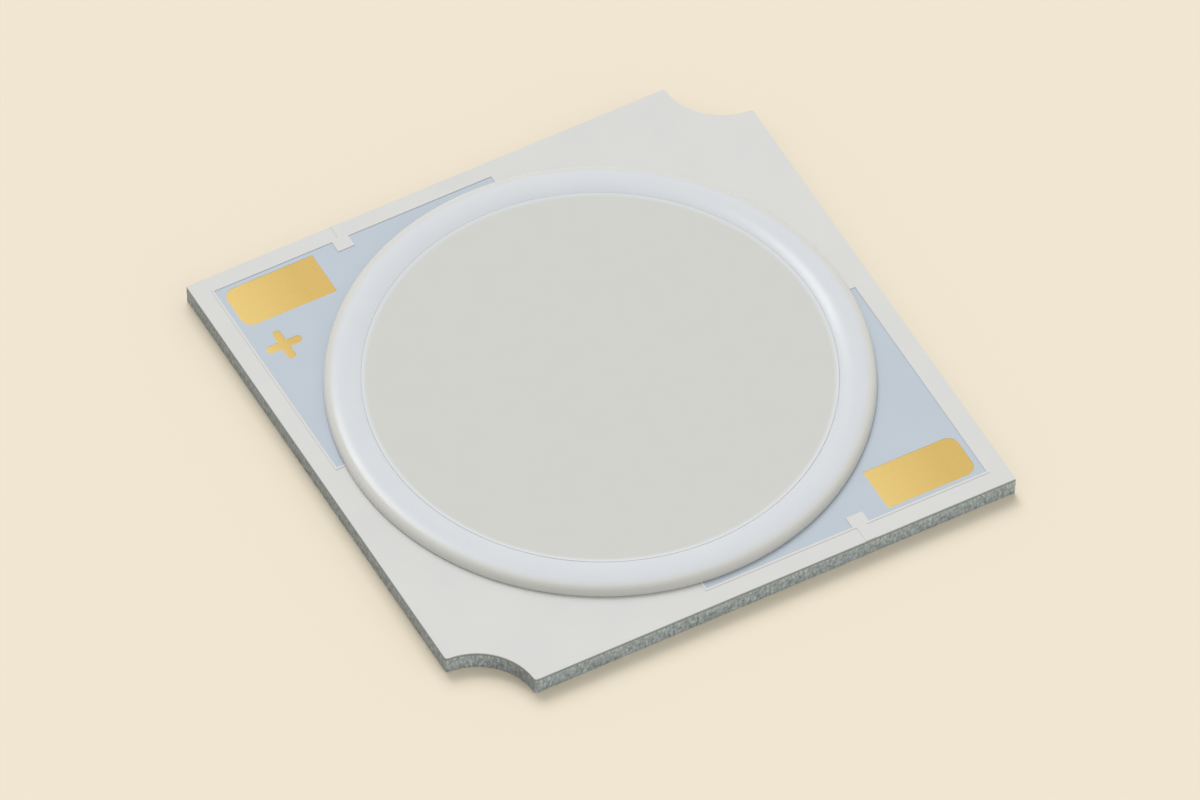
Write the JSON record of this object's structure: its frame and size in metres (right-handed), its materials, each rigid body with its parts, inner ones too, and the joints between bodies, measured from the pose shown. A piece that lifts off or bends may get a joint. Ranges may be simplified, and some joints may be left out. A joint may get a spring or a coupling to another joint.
{
  "type": "chip-on-board led",
  "caption": "Square chip-on-board LED: thin metal-core board with corner screw notches, plated solder pads and a round light-emitting area inside a raised dam.",
  "frame": {"origin": "centre of the board's underside, the face that lies on the heat sink", "axes": "+Z the way the light leaves; anode pad at -X +Y, cathode pad at +X -Y, screw notches at +X +Y and -X -Y"},
  "size_m": [0.028, 0.028, 0.0016],
  "materials": {
    "board_aluminium": "satin",
    "bond_film": "satin",
    "laminate": "matte",
    "copper": "satin",
    "grey_coat": "satin",
    "white_coat": "satin",
    "gold_plating": "satin",
    "dam_silicone": "satin",
    "phosphor_silicone": "matte",
    "die": "polished",
    "gold_wire": "polished"
  },
  "bodies": {
    "root": {"base_plate": "board_aluminium", "bonding_film": "bond_film", "insulation_sheet": "laminate", "anode_foil": "copper", "cathode_foil": "copper", "first_coat": "grey_coat", "second_coat": "white_coat", "anode_pad": "gold_plating", "cathode_pad": "gold_plating", "plus_mark": "gold_plating", "anode_bond_strip": "gold_plating", "cathode_bond_strip": "gold_plating", "dam_ring": "dam_silicone", "phosphor_fill": "phosphor_silicone", "die_string_01": "die", "die_string_02": "die", "die_string_03": "die", "die_string_04": "die", "die_string_05": "die", "die_string_06": "die", "die_string_07": "die", "die_string_08": "die", "die_string_09": "die", "die_string_10": "die", "die_string_11": "die", "die_string_12": "die", "wire_string_01": "gold_wire", "wire_string_02": "gold_wire", "wire_string_03": "gold_wire", "wire_string_04": "gold_wire", "wire_string_05": "gold_wire", "wire_string_06": "gold_wire", "wire_string_07": "gold_wire", "wire_string_08": "gold_wire", "wire_string_09": "gold_wire", "wire_string_10": "gold_wire", "wire_string_11": "gold_wire", "wire_string_12": "gold_wire"}
  },
  "joints": []
}
